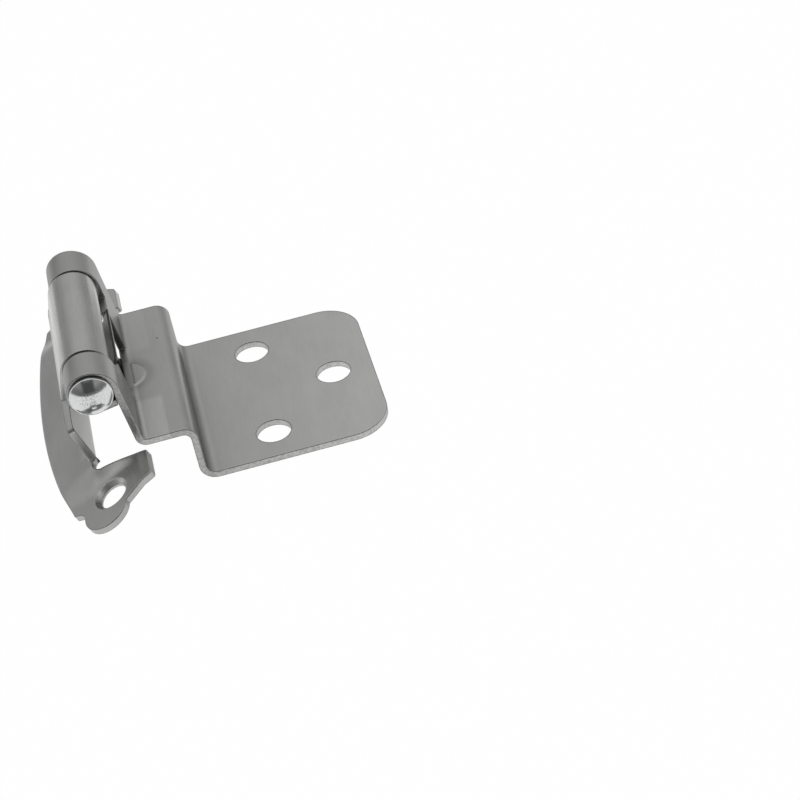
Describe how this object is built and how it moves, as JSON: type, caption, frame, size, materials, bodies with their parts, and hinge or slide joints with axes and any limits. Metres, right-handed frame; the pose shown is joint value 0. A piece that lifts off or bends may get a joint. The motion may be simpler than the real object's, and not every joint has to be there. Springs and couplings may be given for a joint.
{
  "type": "cranked cabinet hinge",
  "caption": "Cranked self-closing cabinet hinge: a stepped door wing and a crowned crescent frame wing on a headed pin, closed by a leaf spring.",
  "frame": {"origin": "midway between the inner pair of screw holes of the screw plate, on the face that lies against the door", "axes": "+Z out of the screw plate on the barrel's side, +Y along the hinge pin, +X from the barrel to the free end of the screw plate"},
  "size_m": [0.0609, 0.0718, 0.0283],
  "materials": {
    "wing_steel": "satin nickel plate",
    "pin_steel": "polished nickel plate",
    "spring_steel": "satin nickel plate on spring steel"
  },
  "bodies": {
    "door_side": {"door_wing": "wing_steel", "hinge_pin": "pin_steel", "closing_spring": "spring_steel"},
    "frame_side": {"frame_wing": "wing_steel"}
  },
  "joints": [
    {"name": "hinge", "type": "hinge", "parent": "door_side", "child": "frame_side", "pos_m": [-0.0285, 0, 0.02285], "axis": [0, 1, 0], "range_deg": [0, 202.8], "stiffness_Nm_per_rad": 0.05, "springref_deg": -28.65}
  ]
}
